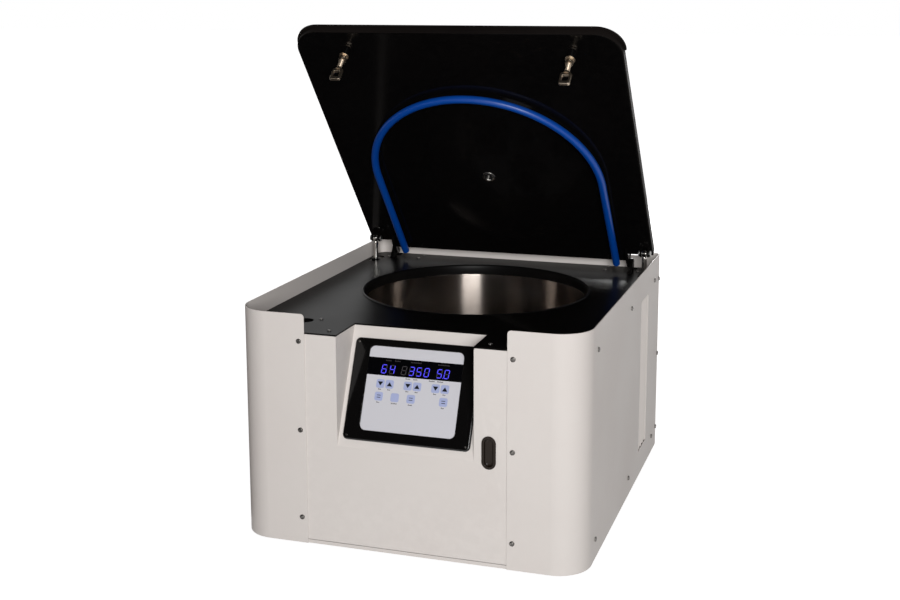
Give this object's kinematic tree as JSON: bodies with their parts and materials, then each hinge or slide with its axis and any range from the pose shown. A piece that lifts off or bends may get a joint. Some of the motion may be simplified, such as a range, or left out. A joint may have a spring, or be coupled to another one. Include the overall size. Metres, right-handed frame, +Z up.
{
  "type": "benchtop centrifuge",
  "caption": "Benchtop centrifuge with its hinged lid held open by gas struts, steel bowl with a swing-out rotor, and a sloping key panel with a display.",
  "frame": {"origin": "on the bench under the middle of the cabinet's width and depth", "axes": "+Z up, +X to the right seen from the front, +Y to the back"},
  "size_m": [0.504, 0.574, 0.7225],
  "materials": {
    "cabinet_paint": "fine textured off-white powder coat",
    "black_paint": "semi-gloss black enamel",
    "lid_black": "gloss black lacquer on aluminium sheet",
    "stainless": "spun stainless steel",
    "chrome": "bright plated",
    "zinc": "zinc plated",
    "rubber": "matt black rubber",
    "blue_tube": "smooth blue silicone tube",
    "fascia": "satin printed overlay",
    "key_print": "satin key cap",
    "dark_window": "dark tinted window",
    "black_plastic": "fine textured black plastic",
    "circuit_board": "green solder mask",
    "cast_aluminium": "machined and anodised"
  },
  "bodies": {
    "cabinet": {"base_tray": "cabinet_paint", "left_side_panel": "cabinet_paint", "right_side_panel": "cabinet_paint", "front_panel": "cabinet_paint", "rear_panel": "cabinet_paint", "deck": "black_paint", "foot_front_left": "rubber", "foot_front_right": "rubber", "foot_rear_left": "rubber", "foot_rear_right": "rubber", "control_bezel": "black_paint", "keypad_fascia": "fascia", "display_window": "dark_window", "control_board": "circuit_board", "release_escutcheon": "black_plastic", "bowl": "stainless", "bowl_gasket": "rubber", "motor_mount": "zinc", "motor": "cast_aluminium", "hinge_bracket_left": "black_paint", "hinge_bracket_right": "black_paint", "lock_housing_left": "black_plastic", "lock_housing_right": "black_plastic", "fan_housing": "black_plastic", "power_entry": "black_plastic", "power_board": "circuit_board"},
    "lid": {"lid_shell": "lid_black", "lid_liner": "lid_black", "lid_seal": "blue_tube", "sight_port": "chrome", "striker_left": "chrome", "striker_right": "chrome", "strut_pin_left": "chrome", "strut_pin_right": "chrome"},
    "rotor": {"spindle": "zinc", "rotor_cross": "cast_aluminium", "rotor_nut": "chrome"},
    "fan": {"fan_impeller": "black_plastic"},
    "release_button": {"release_button": "black_plastic"},
    "mains_rocker": {"mains_rocker": "black_plastic"},
    "bucket_1": {"bucket_1": "cast_aluminium"},
    "bucket_2": {"bucket_2": "cast_aluminium"},
    "bucket_3": {"bucket_3": "cast_aluminium"},
    "bucket_4": {"bucket_4": "cast_aluminium"},
    "key_left_down": {"key_left_down": "key_print"},
    "key_left_up": {"key_left_up": "key_print"},
    "key_middle_down": {"key_middle_down": "key_print"},
    "key_middle_up": {"key_middle_up": "key_print"},
    "key_right_down": {"key_right_down": "key_print"},
    "key_right_up": {"key_right_up": "key_print"},
    "key_lower_1": {"key_lower_1": "key_print"},
    "key_lower_2": {"key_lower_2": "key_print"},
    "key_lower_3": {"key_lower_3": "key_print"},
    "key_lower_4": {"key_lower_4": "key_print"},
    "strut_cylinder_left": {"strut_cylinder_left": "black_paint"},
    "strut_rod_left": {"strut_rod_left": "chrome"},
    "lock_bolt_left": {"lock_bolt_left": "chrome"},
    "strut_cylinder_right": {"strut_cylinder_right": "black_paint"},
    "strut_rod_right": {"strut_rod_right": "chrome"},
    "lock_bolt_right": {"lock_bolt_right": "chrome"}
  },
  "joints": [
    {"name": "lid_hinge", "type": "hinge", "parent": "cabinet", "child": "lid", "pos_m": [0, 0.248, 0.326], "axis": [1, 0, 0], "range_deg": [0, 49]},
    {"name": "strut_swing_left", "type": "hinge", "parent": "cabinet", "child": "strut_cylinder_left", "pos_m": [-0.234, 0.215, 0.128], "axis": [1, 0, 0], "range_deg": [0, 2.16]},
    {"name": "strut_slide_left", "type": "slide", "parent": "strut_cylinder_left", "child": "strut_rod_left", "axis": [0, 0.0278, 0.9996], "range_m": [-0.02719, 0]},
    {"name": "lock_slide_left", "type": "slide", "parent": "cabinet", "child": "lock_bolt_left", "axis": [0, -1, 0], "range_m": [0, 0.02]},
    {"name": "strut_swing_right", "type": "hinge", "parent": "cabinet", "child": "strut_cylinder_right", "pos_m": [0.234, 0.215, 0.128], "axis": [1, 0, 0], "range_deg": [0, 2.16]},
    {"name": "strut_slide_right", "type": "slide", "parent": "strut_cylinder_right", "child": "strut_rod_right", "axis": [0, 0.0278, 0.9996], "range_m": [-0.02719, 0]},
    {"name": "lock_slide_right", "type": "slide", "parent": "cabinet", "child": "lock_bolt_right", "axis": [0, -1, 0], "range_m": [0, 0.02]},
    {"name": "release_press", "type": "slide", "parent": "cabinet", "child": "release_button", "axis": [0, 1, 0], "range_m": [0, 0.004], "stiffness_N_per_m": 400, "springref_m": -0.002},
    {"name": "key_left_down_press", "type": "slide", "parent": "cabinet", "child": "key_left_down", "axis": [0, 0.9107, -0.4131], "range_m": [0, 0.0005], "stiffness_N_per_m": 600, "springref_m": -0.001},
    {"name": "key_left_up_press", "type": "slide", "parent": "cabinet", "child": "key_left_up", "axis": [0, 0.9107, -0.4131], "range_m": [0, 0.0005], "stiffness_N_per_m": 600, "springref_m": -0.001},
    {"name": "key_middle_down_press", "type": "slide", "parent": "cabinet", "child": "key_middle_down", "axis": [0, 0.9107, -0.4131], "range_m": [0, 0.0005], "stiffness_N_per_m": 600, "springref_m": -0.001},
    {"name": "key_middle_up_press", "type": "slide", "parent": "cabinet", "child": "key_middle_up", "axis": [0, 0.9107, -0.4131], "range_m": [0, 0.0005], "stiffness_N_per_m": 600, "springref_m": -0.001},
    {"name": "key_right_down_press", "type": "slide", "parent": "cabinet", "child": "key_right_down", "axis": [0, 0.9107, -0.4131], "range_m": [0, 0.0005], "stiffness_N_per_m": 600, "springref_m": -0.001},
    {"name": "key_right_up_press", "type": "slide", "parent": "cabinet", "child": "key_right_up", "axis": [0, 0.9107, -0.4131], "range_m": [0, 0.0005], "stiffness_N_per_m": 600, "springref_m": -0.001},
    {"name": "key_lower_1_press", "type": "slide", "parent": "cabinet", "child": "key_lower_1", "axis": [0, 0.9107, -0.4131], "range_m": [0, 0.0005], "stiffness_N_per_m": 600, "springref_m": -0.001},
    {"name": "key_lower_2_press", "type": "slide", "parent": "cabinet", "child": "key_lower_2", "axis": [0, 0.9107, -0.4131], "range_m": [0, 0.0005], "stiffness_N_per_m": 600, "springref_m": -0.001},
    {"name": "key_lower_3_press", "type": "slide", "parent": "cabinet", "child": "key_lower_3", "axis": [0, 0.9107, -0.4131], "range_m": [0, 0.0005], "stiffness_N_per_m": 600, "springref_m": -0.001},
    {"name": "key_lower_4_press", "type": "slide", "parent": "cabinet", "child": "key_lower_4", "axis": [0, 0.9107, -0.4131], "range_m": [0, 0.0005], "stiffness_N_per_m": 600, "springref_m": -0.001},
    {"name": "mains_switch", "type": "hinge", "parent": "cabinet", "child": "mains_rocker", "pos_m": [0.13434, 0.285, 0.074], "axis": [1, 0, 0], "range_deg": [-14, 0]},
    {"name": "rotor_spin", "type": "hinge", "parent": "cabinet", "child": "rotor", "pos_m": [0, 0.048, 0.2313], "axis": [0, 0, 1], "continuous": true},
    {"name": "bucket_swing_1", "type": "hinge", "parent": "rotor", "child": "bucket_1", "pos_m": [0.078, 0.048, 0.2313], "axis": [0, -1, 0], "range_deg": [0, 90]},
    {"name": "bucket_swing_2", "type": "hinge", "parent": "rotor", "child": "bucket_2", "pos_m": [0, 0.126, 0.2313], "axis": [1, 0, 0], "range_deg": [0, 90]},
    {"name": "bucket_swing_3", "type": "hinge", "parent": "rotor", "child": "bucket_3", "pos_m": [-0.078, 0.048, 0.2313], "axis": [0, 1, 0], "range_deg": [0, 90]},
    {"name": "bucket_swing_4", "type": "hinge", "parent": "rotor", "child": "bucket_4", "pos_m": [0, -0.03, 0.2313], "axis": [-1, 0, 0], "range_deg": [0, 90]},
    {"name": "fan_spin", "type": "hinge", "parent": "cabinet", "child": "fan", "pos_m": [-0.12, 0.268, 0.113], "axis": [0, 1, 0], "continuous": true}
  ],
  "couplings": [
    {"joint": "strut_swing_left", "follows": "lid_hinge", "ratio": 0.043089},
    {"joint": "strut_slide_left", "follows": "lid_hinge", "m_per_rad": -0.031564},
    {"joint": "strut_swing_right", "follows": "lid_hinge", "ratio": 0.043089},
    {"joint": "strut_slide_right", "follows": "lid_hinge", "m_per_rad": -0.031564}
  ]
}
